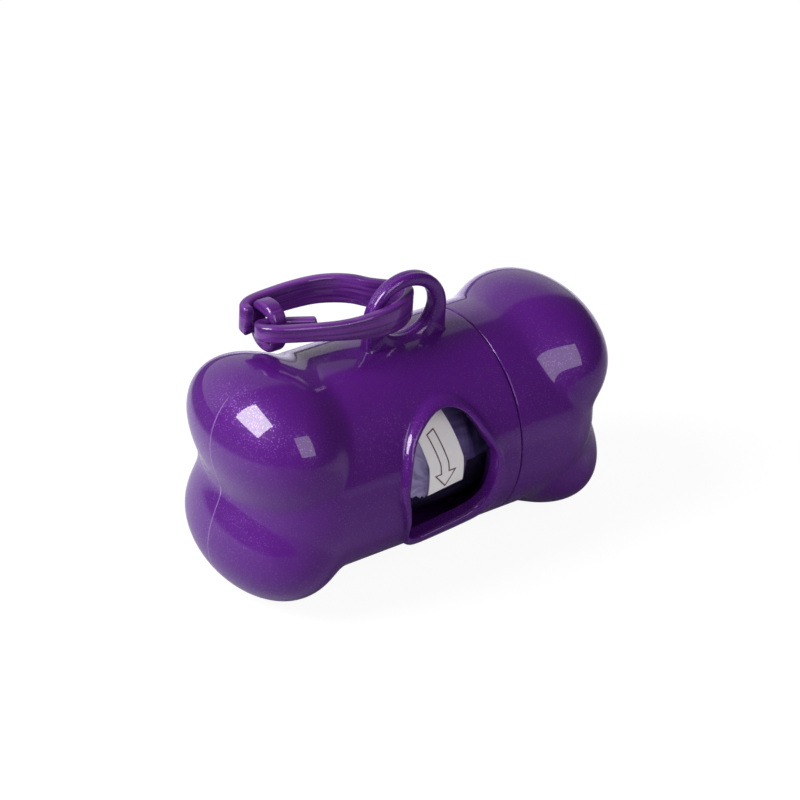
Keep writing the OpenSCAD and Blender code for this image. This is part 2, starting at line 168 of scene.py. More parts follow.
def window_grids(xs, tube, inset):
    """The tube with a rectangle left out round the window, and rings of points from that
    rectangle to the window's edge. On the outside they run over the lip: foot, rounded
    sides and top; then down the wall of the cut to the inner skin. The two skins space
    their points apart along that inner edge, so they touch there without joining."""
    radius = SHAFT_R - inset
    i0, i1 = 1, len(xs) - 4
    j0, j1 = int(ABOVE_WINDOW / STEP), len(FRONT_TURN) - 1 - int(BELOW_WINDOW / STEP)
    loop = [(i0, j) for j in range(j0, j1)] + [(i, j1) for i in range(i0, i1)]
    loop += [(i1, j) for j in range(j1, j0, -1)] + [(i, j0) for i in range(i1, i0, -1)]
    loop.append(loop[0])
    rim_x = np.array([xs[i] for i, j in loop])
    rim_arc = np.radians(180 - FRONT_TURN[[j for i, j in loop]]) * radius
    turn = np.linspace(0, 2 * math.pi, 1441)
    outer = window_outline(turn, LIP_W, LIP_LOW)
    outer_arc = radius * np.arcsin(outer[:, 1] / (SHAFT_R + 1))
    aim = np.unwrap(np.arctan2(outer_arc - WINDOW_MID[1], outer[:, 0] - WINDOW_MID[0]))
    want = np.arctan2(rim_arc - WINDOW_MID[1], rim_x - WINDOW_MID[0])
    want = aim[0] + (want - aim[0]) % (2 * math.pi)
    at = np.interp(want, aim, turn)
    p_in, p_out = window_outline(at, 0, 0), window_outline(at, LIP_W, LIP_LOW)
    width = np.linalg.norm(p_out - p_in, axis=1)[:, None]
    start = p_in if inset == WALL else p_out + (p_out - p_in) / width * LIP_FOOT
    arc = np.arcsin(start[:, 1] / radius) * radius
    rows = []
    for t in np.linspace(0, 1, 10)[::-1]:
        x, a = start[:, 0] + (rim_x - start[:, 0]) * t, arc + (rim_arc - arc) * t
        rows.append(on_tube(x, radius * np.sin(a / radius), radius))
    if inset == SKIN:
        for inwards, h in LIP_SIDE:
            p = p_out - (p_out - p_in) / width * inwards
            rows.append(on_tube(p[:, 0], p[:, 1], SHAFT_R + h))
        p = (p_out + p_in) / 2
        rows.append(on_tube(p[:, 0], p[:, 1], SHAFT_R + LIP_H))
        for share, h in LIP_CUT:
            p = p_in + (p_out - p_in) / width * share
            rows.append(on_tube(p[:, 0], p[:, 1], SHAFT_R + h))
    return [tube[:i0 + 1], tube[i1:], tube[i0:i1 + 1, :j0 + 1], tube[i0:i1 + 1, j1:],
            np.stack(rows)]


def solid(name, grids, body, material, sharp=40):
    """One mesh from point grids (rows x columns x 3, mm): each grid cell is a quad, equal
    points are merged, faces are turned outwards and edges over `sharp` degrees kept."""
    starts = np.cumsum([0] + [g.shape[0] * g.shape[1] for g in grids])
    quads = []
    for g, start in zip(grids, starts):
        at = start + np.arange(g.shape[0] * g.shape[1]).reshape(g.shape[:2])
        corners = [at[:-1, :-1], at[1:, :-1], at[1:, 1:], at[:-1, 1:]]
        quads.append(np.stack(corners, -1).reshape(-1, 4))
    points = np.concatenate([g.reshape(-1, 3) for g in grids]) / 1000
    quads = np.concatenate(quads)
    mesh = bpy.data.meshes.new(name)
    mesh.vertices.add(len(points))
    mesh.vertices.foreach_set("co", points.ravel())
    mesh.loops.add(quads.size)
    mesh.loops.foreach_set("vertex_index", quads.ravel())
    mesh.polygons.add(len(quads))
    mesh.polygons.foreach_set("loop_start", np.arange(len(quads)) * 4)
    mesh.update(calc_edges=True)
    built = bmesh.new()
    built.from_mesh(mesh)
    bmesh.ops.remove_doubles(built, verts=built.verts, dist=2e-6)
    bmesh.ops.recalc_face_normals(built, faces=built.faces)
    built.to_mesh(mesh)
    built.free()
    mesh.polygons.foreach_set("use_smooth", np.ones(len(mesh.polygons), bool))
    mesh.set_sharp_from_angle(angle=math.radians(sharp))
    mesh.materials.append(material)
    piece = bpy.data.objects.new(name, mesh)
    bpy.context.scene.collection.objects.link(piece)
    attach(piece, body)
    return piece


def fill(tree, made, **inputs):
    """Sets or links a shader node's inputs by name; i0, i1 and so on count them instead."""
    for key, value in inputs.items():
        counted = key[0] == "i" and key[1:].isdigit()
        socket = made.inputs[int(key[1:]) if counted else key.replace("_", " ")]
        if isinstance(value, bpy.types.NodeSocket):
            tree.links.new(value, socket)
        else:
            socket.default_value = value
    return made


def node(tree, kind, at, **values):
    """A shader node at a place on the sheet, with its settings and its inputs."""
    made = tree.nodes.new(kind)
    made.location = at
    for key in [key for key in values if hasattr(made, key) and key not in made.inputs]:
        setattr(made, key, values.pop(key))
    return fill(tree, made, **values)


def reckon(tree, at, operation, a, b=0.5):
    """One step of arithmetic, such as MULTIPLY, on one or two values."""
    return node(tree, "ShaderNodeMath", at, operation=operation, i0=a, i1=b).outputs[0]


def ramp(tree, at, value, start, end, low=0.0, high=1.0):
    """A value's straight ramp: low at start, high at end, and held beyond both."""
    return node(tree, "ShaderNodeMapRange", at, Value=value, From_Min=start, From_Max=end,
                To_Min=low, To_Max=high).outputs[0]


def clouds(tree, at, place, scale, detail, distortion=0.0):
    """Noise from 0 to 1 over a place."""
    return node(tree, "ShaderNodeTexNoise", at, Vector=place, Scale=scale, Detail=detail,
                Distortion=distortion).outputs["Fac"]


def between(tree, at, share, first, second):
    """The first colour where share is 0 and the second where it is 1."""
    first, second = (c if isinstance(c, bpy.types.NodeSocket) else (*c, 1)
                     for c in (first, second))
    made = node(tree, "ShaderNodeMix", at, data_type="RGBA", i0=share, i6=first, i7=second)
    return made.outputs[2]


def raised(tree, at, height, strength, distance, **under):
    """The normal that a height gives the surface, over an earlier one in Normal."""
    return node(tree, "ShaderNodeBump", at, Strength=strength, Distance=distance,
                Height=height, **under).outputs[0]


def new_material(name):
    """An empty material, its shader tree and its Principled shader."""
    made = bpy.data.materials.new(name)
    made.use_nodes = True
    return made, made.node_tree, made.node_tree.nodes["Principled BSDF"]


def group(name, inputs, outputs):
    """An empty shader node group with float inputs (name, default) and float outputs."""
    tree = bpy.data.node_groups.new(name, "ShaderNodeTree")
    for label, value in inputs:
        socket = tree.interface.new_socket(label, in_out="INPUT", socket_type="NodeSocketFloat")
        socket.default_value = value
    for label in outputs:
        tree.interface.new_socket(label, in_out="OUTPUT", socket_type="NodeSocketFloat")
    return tree, tree.nodes.new("NodeGroupInput"), tree.nodes.new("NodeGroupOutput")


def use(tree, effect, at, **values):
    """The outputs of a node group, placed in a material with its own values."""
    made = tree.nodes.new("ShaderNodeGroup")
    made.node_tree, made.location = effect, at
    return fill(tree, made, **values).outputs


def glitter_group():
    """Fine flakes in the plastic: one cell in a few is a flake. Flake is its mask and Tilt a
    random height that turns the flake's facet when it feeds a Bump node."""
    tree, given, out = group("flake_glitter", [("Cells per m", 7600.0), ("Share", 0.05)],
                             ["Flake", "Tilt"])
    place = node(tree, "ShaderNodeTexCoord", (-900, 0)).outputs["Object"]
    cells = node(tree, "ShaderNodeTexVoronoi", (-650, 0), Vector=place,
                 Scale=given.outputs["Cells per m"]).outputs
    chance = node(tree, "ShaderNodeSeparateColor", (-450, 0), Color=cells["Color"]).outputs
    flake = reckon(tree, (-250, 80), "LESS_THAN", chance[0], given.outputs["Share"])
    slope = reckon(tree, (-250, -120), "MULTIPLY", cells["Distance"], chance[1])
    fill(tree, out, Flake=flake, Tilt=reckon(tree, (-60, -80), "MULTIPLY", slope, flake))
    return tree


def handling_group():
    """Marks of handling on gloss: sparse hairline scratches and dust pinholes. Mark is their
    mask, and Haze a slow change of gloss from fingers."""
    tree, given, out = group("handling_marks", [("Amount", 1.0)], ["Mark", "Haze"])
    place = node(tree, "ShaderNodeTexCoord", (-1100, 0)).outputs["Object"]
    turned = node(tree, "ShaderNodeMapping", (-900, 0), Vector=place, Rotation=(0.4, 0.7, 0.5),
                  Scale=(90, 900, 900)).outputs[0]
    hairs = ramp(tree, (-460, 60), clouds(tree, (-680, 60), turned, 1.0, 2.0), 0.70, 0.78)
    specks = node(tree, "ShaderNodeTexVoronoi", (-680, -220), Vector=place, Scale=420.0)
    dots = ramp(tree, (-460, -220), specks.outputs["Distance"], 0.045, 0.03)
    both = reckon(tree, (-260, 0), "MAXIMUM", hairs, dots)
    fill(tree, out, Mark=reckon(tree, (-80, 0), "MULTIPLY", both, given.outputs["Amount"]),
         Haze=clouds(tree, (-680, -480), place, 60.0, 3.0))
    return tree


GLITTER, HANDLING = glitter_group(), handling_group()
# The weld line's pale colour is a painted highlight on its ridge.
FLAKE_COLOUR, WELD_GLINT_COLOUR = (0.26, 0.085, 0.45), (0.62, 0.45, 0.80)


def plastic(name, dark, light, gloss, flakes, weld, stretch=(1, 1, 1)):
    """Moulded plastic: a slow mottle between two violets, which stretch draws out into light and
    dark streaks, glitter under a clear gloss, marks of handling, and round the bone's ends the
    weld line along Y = 0 where weld is 1: a fine ridge whose glint is a painted highlight, pale
    and strongest at the crease between the lobes. Places in it are metres."""
    made, tree, shader = new_material(name)
    place = node(tree, "ShaderNodeTexCoord", (-1500, 200)).outputs["Object"]
    drawn = node(tree, "ShaderNodeMapping", (-1400, 300), Vector=place, Scale=stretch)
    mottle = clouds(tree, (-1300, 300), drawn.outputs[0], 38.0, 4.0)
    hue = between(tree, (-1080, 300), ramp(tree, (-1190, 300), mottle, 0.36, 0.64), dark, light)
    glitter = use(tree, GLITTER, (-1300, 0), Share=flakes)
    flaked = between(tree, (-860, 260), glitter["Flake"], hue, FLAKE_COLOUR)
    # Weld line: a real ridge, raised by the bump below, with a painted highlight as its pale
    # colour, kept to the ends and strongest at the crease between the lobes.
    apart = node(tree, "ShaderNodeSeparateXYZ", (-1300, -260), Vector=place).outputs
    off_plane = reckon(tree, (-1100, -260), "ABSOLUTE", apart["Y"])
    line = ramp(tree, (-900, -260), off_plane, 0.00010, 0.00004)
    outwards = reckon(tree, (-1100, -560), "ABSOLUTE", apart["X"])
    tip = ramp(tree, (-900, -520), outwards, 0.0370, 0.0392, 0.0, weld)
    over_axis = reckon(tree, (-1100, -420), "SUBTRACT", apart["Z"], AXIS_Z / 1000)
    off_crease = reckon(tree, (-1000, -480), "ABSOLUTE", over_axis)
    crease = ramp(tree, (-900, -760), off_crease, 0.0014, 0.0004, 0.45)
    weld_glint_reach = reckon(tree, (-760, -520), "MULTIPLY", tip, crease)
    seam = reckon(tree, (-700, -360), "MULTIPLY", line, weld_glint_reach)
    marks = use(tree, HANDLING, (-1300, -700))
    facets = raised(tree, (-380, -100), glitter["Tilt"], 0.35, 0.00006)
    fill(tree, shader, Base_Color=between(tree, (-620, 240), seam, flaked, WELD_GLINT_COLOUR),
         Metallic=reckon(tree, (-620, 0), "MULTIPLY", glitter["Flake"], 0.9),
         Roughness=ramp(tree, (-620, -640), marks["Haze"], 0.0, 1.0, gloss, gloss + 0.10),
         Normal=raised(tree, (-200, -200), seam, 0.6, 0.00006, Normal=facets),
         Coat_Weight=ramp(tree, (-400, -760), marks["Mark"], 0.0, 1.0, 1.0, 0.55),
         Coat_Roughness=0.02, IOR=1.5, Specular_IOR_Level=0.12)
    return made


SHELL_PLASTIC = plastic("violet_glitter_gloss", (0.078, 0.0062, 0.176), (0.092, 0.0085, 0.200),
                        0.35, 0.07, 1)
body_mouth = PARTING_X - PARTING_GAP / 2
front_shell = solid("body_front_skin", half_shell(-1, FRONT_TURN, body_mouth, window_grids),
                    "body", SHELL_PLASTIC)
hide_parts("body_front_shell")

# ------------------------------------------------------------------------------------------
# Body, rear shell. The same moulding without a window, welded to the front one along the
# bone's middle plane, Y = 0.
# ------------------------------------------------------------------------------------------
REAR_TURN = np.arange(90, -90 - STEP / 2, -STEP)   # from the top over +Y to the bottom
rear_shell = solid("body_rear_skin", half_shell(-1, REAR_TURN, body_mouth), "body",
                   SHELL_PLASTIC)
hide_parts("body_rear_shell")

# ------------------------------------------------------------------------------------------
# Eyelet. Each shell is moulded with half of its thickness; the rounded halves meet at the
# middle plane in a fine groove, and run into the shaft with a small fillet.
# ------------------------------------------------------------------------------------------
HOLE_Z, HOLE_R = 25.3, 5.3       # over the axis
HOLE_LEFT, HOLE_FOOT = 0.95, 0.7   # drawn out at the upper left, and raised at its foot
HEAD_X, HEAD_Z, HEAD_R = -0.4, 24.5, 8.7
FOOT_Z = 18.9                    # the legs end here, inside the shaft's wall
EYELET_HALF, HOLE_EDGE, HEAD_EDGE = 1.5, 0.10, 0.95
FILLET, DRAFT = 0.6, 0.2


def head_reach(turn):
    """From the hole's centre to the eyelet's outline: the head's circle above, below it the
    straight legs, and the cut inside the shaft's wall."""
    c, s = np.cos(turn), np.sin(turn)
    ox, oz = -HEAD_X, HOLE_Z - HEAD_Z
    b = c * ox + s * oz
    circle = -b + np.sqrt(b * b - (ox * ox + oz * oz - HEAD_R ** 2))
    leg = np.where(c > 0, HEAD_R + HEAD_X, HEAD_R - HEAD_X) / np.maximum(np.abs(c), 1e-6)
    foot = (HOLE_Z - FOOT_Z) / np.maximum(-s, 1e-6)
    return np.where(circle * s + oz >= 0, circle, np.minimum(leg, foot))


def hole_reach(turn):
    """Reach of the hole: its radius, more at the upper left and less at the foot, both by
    even powers of a cosine."""
    left = np.clip(np.cos(turn - math.radians(155)), 0, 1) ** 2
    foot = np.clip(np.cos(turn - math.radians(262)), 0, 1) ** 4
    return HOLE_R + HOLE_LEFT * left - HOLE_FOOT * foot


def rounded_section(width, low, high, r_low, r_high):
    """Closed outline of a bar's section, as arrays of (0..width) and (low..high): its four
    corners are rounded, those at low by r_low and those at high by r_high."""
    quarter = np.linspace(0, math.pi / 2, 7)
    a, b = [], []
    for turn, far, top in ((math.pi, 0, 0), (1.5 * math.pi, 1, 0), (0, 1, 1),
                           (0.5 * math.pi, 0, 1)):
        r = r_high if top else r_low
        a.append(np.where(far, width[:, None] - r, r) + r * np.cos(turn + quarter)[None, :])
        b.append(np.full(quarter.shape, high - r if top else low + r) + r * np.sin(turn + quarter))
    a, b = np.concatenate(a, 1), np.concatenate(b)
    return np.concatenate([a, a[:, :1]], 1), np.append(b, b[0])


def eyelet_grid(side):
    """Half the eyelet: a rounded section from the hole to the outline, carried round the
    hole and tapered towards its lower right; near the shaft it flares by a circle's arc."""
    turn = np.linspace(-math.pi / 2, 1.5 * math.pi, 193)
    reach, hole = head_reach(turn), hole_reach(turn)
    across, y = rounded_section(reach - hole, 0, EYELET_HALF, HOLE_EDGE, HEAD_EDGE)
    lower_right = np.clip(np.cos(turn + math.radians(50)), 0, 1)[:, None] ** 2
    draft = DRAFT * (side * y + EYELET_HALF) * lower_right
    r = hole[:, None] + across - draft * (1 - across / (reach - hole)[:, None])
    x, z = r * np.cos(turn)[:, None], HOLE_Z + r * np.sin(turn)[:, None]
    y = np.broadcast_to(y, x.shape)
    lift = np.clip(np.hypot(y, z) - SHAFT_R, 0, FILLET)
    flare = FILLET - np.sqrt(np.maximum(FILLET ** 2 - (FILLET - lift) ** 2, 0))
    y = y + flare * y / EYELET_HALF
    return np.stack([x, side * y, AXIS_Z + z], -1)


for label, side in (("front", -1), ("rear", 1)):
    solid("eyelet_" + label, [eyelet_grid(side)], "body", SHELL_PLASTIC, 60)

# ------------------------------------------------------------------------------------------
# Neck ring. A plain ring glued into the body's mouth; its neck has a two-turn thread with a
# lead of 4 mm, moulded in a darker violet with hardly any glitter.
# ------------------------------------------------------------------------------------------
NECK_R, NECK_WALL, NECK_END, ROOT_X = 17.0, 1.3, 20.9, 8.3
GLUED_R = 18.2                   # outside of what is glued into a shell
LEAD, THREAD_HALF, THREAD_FADE, NECK_CREST = 4.0, 0.85, 0.8, 0.5
TURN = np.linspace(0, 2 * math.pi, 241)
RING_PLASTIC = plastic("violet_ring_plastic", (0.050, 0.0085, 0.125), (0.060, 0.011, 0.145),
                       0.34, 0.02, 0)


def thread_height(x, turn, low, high, crest):
    """Height of a rounded thread at x and angle: a smooth step up to the helix and down from
    it, fading out at both ends."""
    phase = (x - low) / LEAD - turn / (2 * math.pi)
    nearest = np.abs(phase - np.round(phase)) * LEAD
    ridge = np.clip(1 - nearest / THREAD_HALF, 0, 1)
    fade = np.clip((x - low) / THREAD_FADE, 0, 1) * np.clip((high - x) / THREAD_FADE, 0, 1)
    return crest * ridge * ridge * (3 - 2 * ridge) * fade


def threaded(x, r):
    """Points of a skin about the bone's axis: its radius r changes along x and round TURN."""
    return np.stack([x[:, None] + 0 * r, r * np.cos(TURN), AXIS_Z + r * np.sin(TURN)], -1)


neck_x = np.linspace(PARTING_X + 0.5, NECK_END - 0.3, 90)
neck_skin = threaded(neck_x, NECK_R + thread_height(neck_x[:, None], TURN[None, :], neck_x[0],
                                                    neck_x[-1], NECK_CREST))
neck_in = NECK_R - NECK_WALL
neck_profile = [(NECK_END - 0.3, NECK_R), (NECK_END - 0.08, NECK_R - 0.08),
                (NECK_END, NECK_R - 0.3), (NECK_END, neck_in + 0.2), (NECK_END - 0.2, neck_in),
                (ROOT_X + 0.2, neck_in), (ROOT_X, neck_in + 0.2), (ROOT_X, GLUED_R - 0.2),
                (ROOT_X + 0.2, GLUED_R), (PARTING_X - 0.3, GLUED_R),
                (PARTING_X - 0.1, GLUED_R - 0.2), (PARTING_X - 0.1, NECK_R + 0.3),
                (PARTING_X + 0.2, NECK_R), (PARTING_X + 0.5, NECK_R)]
neck = solid("neck_with_thread", [neck_skin, ring_rows(neck_profile, np.degrees(TURN))],
             "body", RING_PLASTIC)
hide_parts("neck_ring")

# ------------------------------------------------------------------------------------------
# Screw cap. The other end of the bone: two half shells welded like the body's, with the
# lip of its mouth 0.2 mm from the body's, which shows as the parting line.
# ------------------------------------------------------------------------------------------
cap_mouth = PARTING_X + PARTING_GAP / 2
cap_front = solid("cap_front_skin", half_shell(1, FRONT_TURN, cap_mouth), "cap",
                  SHELL_PLASTIC)
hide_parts("cap_front_shell")
cap_rear = solid("cap_rear_skin", half_shell(1, REAR_TURN, cap_mouth), "cap",
                 SHELL_PLASTIC)
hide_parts("cap_rear_shell")

# ------------------------------------------------------------------------------------------
# Cap collar. A ring of the neck's plastic glued into the cap's mouth, with the groove that
# the neck's thread runs in. It turns with the cap.
# ------------------------------------------------------------------------------------------
COLLAR_IN, COLLAR_LOW, COLLAR_HIGH, GROOVE_CREST = 17.1, 13.4, 21.0, 0.62
collar_x = np.linspace(COLLAR_LOW + 0.3, COLLAR_HIGH - 0.2, 90)
groove = COLLAR_IN + thread_height(collar_x[:, None], TURN[None, :], neck_x[0],
                                   COLLAR_HIGH + 2, GROOVE_CREST)
groove[-1] = COLLAR_IN
collar_profile = [(COLLAR_HIGH - 0.2, COLLAR_IN), (COLLAR_HIGH, COLLAR_IN + 0.15),
                  (COLLAR_HIGH, GLUED_R - 0.2), (COLLAR_HIGH - 0.2, GLUED_R),
                  (COLLAR_LOW + 0.2, GLUED_R), (COLLAR_LOW, GLUED_R - 0.2),
                  (COLLAR_LOW, COLLAR_IN + 0.3), (COLLAR_LOW + 0.3, COLLAR_IN)]
collar = solid("collar_with_thread",
               [threaded(collar_x, groove), ring_rows(collar_profile, np.degrees(TURN))],
               "cap", RING_PLASTIC)
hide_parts("cap_collar")

# ------------------------------------------------------------------------------------------
# Bag roll. Waste bags of thin dark violet film, folded to 60 mm and wound on a cardboard
# tube; the wound edges show as fine rings on both ends.
# ------------------------------------------------------------------------------------------
ROLL_Z = AXIS_Z - 0.7
CORE_R, CORE_WALL, ROLL_R, ROLL_END = 7.0, 1.0, 14.4, 30.0
RINGS, RING_DIP = 18, 0.10       # rings on an end, and half of how deep they are
# Pale violet of the painted sheen on the loose film's folds.
FOLD_SHEEN_COLOUR = (0.42, 0.36, 0.62)


def about_roll(x, r, turn):
    """Points at radius r and angle turn about the roll's axis (0 is the front, 90 the top)."""
    return np.stack([x + 0 * turn, -r * np.cos(turn), ROLL_Z + r * np.sin(turn)], -1)


def film_material(name, dark, light, fold_sheen_share):
    """Thin film: fine creases along the roll, with a soft gloss, between a dark and a light
    violet; left of the label, where it is pulled into folds, a painted sheen pales it by the
    share fold_sheen_share."""
    made, tree, shader = new_material(name)
    place = node(tree, "ShaderNodeTexCoord", (-1300, 0)).outputs["Object"]
    along = node(tree, "ShaderNodeMapping", (-1100, 0), Vector=place, Scale=(60, 420, 420))
    crease = clouds(tree, (-880, 0), along.outputs[0], 1.0, 5.0, 0.6)
    cloud = clouds(tree, (-880, -260), place, 120.0, 3.0)
    mixed = reckon(tree, (-660, -80), "MULTIPLY", crease, cloud)
    hue = between(tree, (-260, 60), ramp(tree, (-460, 0), mixed, 0.14, 0.36), dark, light)
    apart = node(tree, "ShaderNodeSeparateXYZ", (-1100, 300), Vector=place)
    painted_fold_sheen = ramp(tree, (-880, 300), apart.outputs["X"], -0.0046, -0.0064, 0.0, fold_sheen_share)
    fill(tree, shader, Base_Color=between(tree, (-60, 200), painted_fold_sheen, hue, FOLD_SHEEN_COLOUR),
         Normal=raised(tree, (-260, -260), crease, 0.5, 0.0003),
         Roughness=ramp(tree, (-460, -420), cloud, 0.0, 1.0, 0.22, 0.42))
    return made


roll_turn = np.linspace(0, 2 * math.pi, 361)
wound = np.linspace(0, 1, 75)
ring_r = CORE_R + 0.06 + wound * (ROLL_R - CORE_R - 0.3)
ring_dip = RING_DIP + RING_DIP * np.cos(wound * 2 * math.pi * RINGS)
profile_x = np.concatenate([[-ROLL_END + 0.3], -ROLL_END + ring_dip,
                            [-ROLL_END + 0.12, -ROLL_END + 0.4], np.linspace(-29, 29, 60),
                            [ROLL_END - 0.4, ROLL_END - 0.12], ROLL_END - ring_dip[::-1],
                            [ROLL_END - 0.3, -ROLL_END + 0.3]])
profile_r = np.concatenate([[CORE_R + 0.05], ring_r, [ROLL_R - 0.1, ROLL_R],
                            np.full(60, ROLL_R), [ROLL_R, ROLL_R - 0.1], ring_r[::-1],
                            [CORE_R + 0.05, CORE_R + 0.05]])[:, None]
drift = np.sin(profile_x[:, None] * 0.35 + 2 * roll_turn[None, :])
wave = 0.05 * np.sin(roll_turn * 23)[None, :] * drift - 0.05
roll_r = profile_r + np.where(profile_r > ROLL_R - 0.2, wave, 0)
# The wound film is painted far darker than the loose bag's: painted shade on the roll deep in the
# bone.
bags = solid("wound_bags", [about_roll(profile_x[:, None], roll_r, roll_turn[None, :])],
             "roll",
             film_material("wound_film", (0.008, 0.005, 0.020), (0.045, 0.030, 0.090), 0.0), 60)
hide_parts("bag_roll")

# ------------------------------------------------------------------------------------------
# Core. Tube of grey-brown cardboard, wound in a spiral, that the bags are rolled on. It sits
# loose in the bone with them.
# ------------------------------------------------------------------------------------------
CORE_IN, CORE_EDGE = CORE_R - CORE_WALL, 0.15
core_profile = [(-ROLL_END, CORE_R - CORE_EDGE), (-ROLL_END + CORE_EDGE, CORE_R),
                (ROLL_END - CORE_EDGE, CORE_R), (ROLL_END, CORE_R - CORE_EDGE),
                (ROLL_END, CORE_IN + 0.1), (ROLL_END - 0.1, CORE_IN),
                (-ROLL_END + 0.1, CORE_IN), (-ROLL_END, CORE_IN + 0.1),
                (-ROLL_END, CORE_R - CORE_EDGE)]
core_x, core_r = (np.array(c, float)[:, None] for c in zip(*core_profile))
card, tree, shader = new_material("grey_brown_card")
place = node(tree, "ShaderNodeTexCoord", (-1100, 0)).outputs["Object"]
fibre = clouds(tree, (-860, 0), place, 900.0, 6.0)
spiral = node(tree, "ShaderNodeTexWave", (-860, -260), bands_direction="DIAGONAL",
              Vector=place, Scale=22.0, Distortion=0.4)
seam = ramp(tree, (-640, -260), spiral.outputs["Fac"], 0.04, 0.0, 0.0, 0.6)
hue = between(tree, (-640, 40), fibre, (0.24, 0.17, 0.11), (0.42, 0.32, 0.22))
fill(tree, shader, Base_Color=between(tree, (-420, 40), seam, hue, (0.16, 0.11, 0.07)),
     Normal=raised(tree, (-420, -240), fibre, 0.4, 0.0001), Roughness=0.85)
core = solid("cardboard_core",
             [about_roll(core_x, core_r, np.linspace(0, 2 * math.pi, 145)[None, :])],
             "roll", card)
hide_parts("roll_core")

# ------------------------------------------------------------------------------------------
# Loose bag. The outermost bag, slack round the roll. Its free end hangs in the window, and
# the film left of the label is pulled into folds that fan out from the label's corner.
# ------------------------------------------------------------------------------------------
LABEL_X, LABEL_W = -0.9, 7.6
LOOSE_R, FLAP, SWEEP = 16.0, -9.0, 300.0           # the free end's radius and angle, the turn
TIGHT_R, END_SLACK, NECK_FROM, NECK_DRAW = ROLL_R + 0.05, 0.8, 8.0, 3.7
FILM_LIFT, FILM_T, FOLD_H, RIPPLE_H = 0.12, 0.10, 0.95, 0.16
CORNER_X, CORNER_DEG, MM_PER_DEG = -4.2, -3.0, 0.29   # the folds' corner; film per degree
film_x = np.concatenate([np.linspace(-30, -13, 22), np.linspace(-12.6, 9, 160),
                         np.linspace(9.6, 30, 20)])[:, None]
film_t = (np.concatenate([np.linspace(0, 60, 150), np.linspace(62, SWEEP, 70)]) / SWEEP)[None, :]


def loose_radius(x, t):
    """Inner radius of the slack film: flat in the middle, drawn in towards the neck and the
    closed end, and shrinking evenly with the angle until it lies on the roll."""
    closed = TIGHT_R + END_SLACK
    left = closed + (LOOSE_R - TIGHT_R - END_SLACK) * np.clip((x + 30) / 8, 0, 1)
    right = TIGHT_R + (LOOSE_R - TIGHT_R) * np.clip((NECK_FROM - x) / NECK_DRAW, 0, 1)
    r = np.where(x < -22, left, right)
    return r + (TIGHT_R - r) * t


def flap_edge(x):
    """Angle where the film is cut off, in degrees: a straight cut, a little askew. It is
    torn up by 14 degrees on the right of the label and rises slowly on its left."""
    cut = FLAP + 0.5 * np.clip(x + 1.3, -3.8, 3.8)
    torn = np.clip((x - 2.95) / 0.7, 0, 1)
    falls, rises = 0.6 * np.clip(x - 3.6, 0, 6), 1.5 * np.clip(-4.9 - x, 0, 5)
    return cut + 14 * torn * torn * (3 - 2 * torn) - falls + rises


def label_left(angle_at):
    """The label's left edge in x: straight, drifting to the closed end above 10 degrees."""
    return LABEL_X - LABEL_W / 2 - 0.070 * np.clip(angle_at - 10, 0, 34)


def fold_height(x, angle_at):
    """Folds from 0 to 1: sharp crests, a squared upturned sine of the direction from the
    corner, that rise over 3 mm, die out beyond 5 mm and stop at the label's edge."""
    right, above = x - CORNER_X, (angle_at - CORNER_DEG) * MM_PER_DEG
    away, fan = np.hypot(right, above), np.arctan2(above, -right)
    crest = (1 - np.abs(np.sin(fan * 7.5 + 0.4 * np.sin(away * 1.7) + 0.5))) ** 2
    beside = np.clip((label_left(angle_at) - 0.1 - x) / 0.8, 0, 1)
    return crest * np.clip(away / 3.0, 0, 1) * beside * np.exp(-np.maximum(away - 5, 0) / 4)


def ripple_height(x, angle_at):
    """Ripples from 0 to 1 on the label's right: a sine along the bone that wanders with the
    angle, coming up over 1.5 mm and dying out over the last 2."""
    wander = 0.08 * angle_at + 1.5 * np.sin(angle_at * 0.05)
    ends = np.clip((x - 3.2) / 1.5, 0, 1) * np.clip((9 - x) / 2, 0, 1)
    return (0.5 + 0.5 * np.sin(x * 2.3 + wander)) * ends


def sheet_grids(top, under):
    """Grids of a closed thin sheet: its two faces, and strips along its four edges."""
    strips = [np.stack([top[k], under[k]]) for k in (0, -1)]
    strips += [np.stack([top[:, k], under[:, k]]) for k in (0, -1)]
    return [top, under] + strips


angle = flap_edge(film_x) + film_t * (SWEEP - flap_edge(film_x) + FLAP)
near_end = np.clip(1.3 - film_t * 4, 0, 1)
film_r = (loose_radius(film_x, film_t) + FILM_LIFT
          + FOLD_H * fold_height(film_x, angle) * near_end
          + RIPPLE_H * ripple_height(film_x, angle) * near_end)
film_faces = [about_roll(film_x, r, np.radians(angle)) for r in (film_r, film_r - FILM_T)]
# Left of the label the film is painted paler: painted sheen on its folds.
loose = solid("loose_first_bag", sheet_grids(*film_faces), "roll",
              film_material("loose_film", (0.040, 0.024, 0.105), (0.17, 0.12, 0.33), 0.75), 70)
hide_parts("loose_bag")

# ------------------------------------------------------------------------------------------
# Label. White paper strip stuck along the loose end, cut off with it, and printed with a
# plain outlined arrow that shows which way to pull.
# ------------------------------------------------------------------------------------------
PAPER_T, LABEL_END = 0.12, 230
ARROW = np.array([(-1.65, 32.0), (0.15, 34.6), (0.52, 3.8), (1.90, 3.9), (-0.20, -6.8),
                  (-2.45, 2.7), (-1.20, 2.9)])     # across in mm, and round in degrees
INK_W, INK_LOW, INK_HIGH, INK_MM_PER_DEG = 0.26, 0.110, 0.135, 0.293


def label_skin(across, angle_at, lift):
    """Points on the label: across it in mm from its middle line, which drifts towards the
    closed end above 10 degrees, and round the roll by angle."""
    x = label_left(angle_at) + LABEL_W / 2 + across
    t = (angle_at - FLAP) / SWEEP
    return about_roll(x, loose_radius(x, t) + 0.14 + lift, np.radians(angle_at))


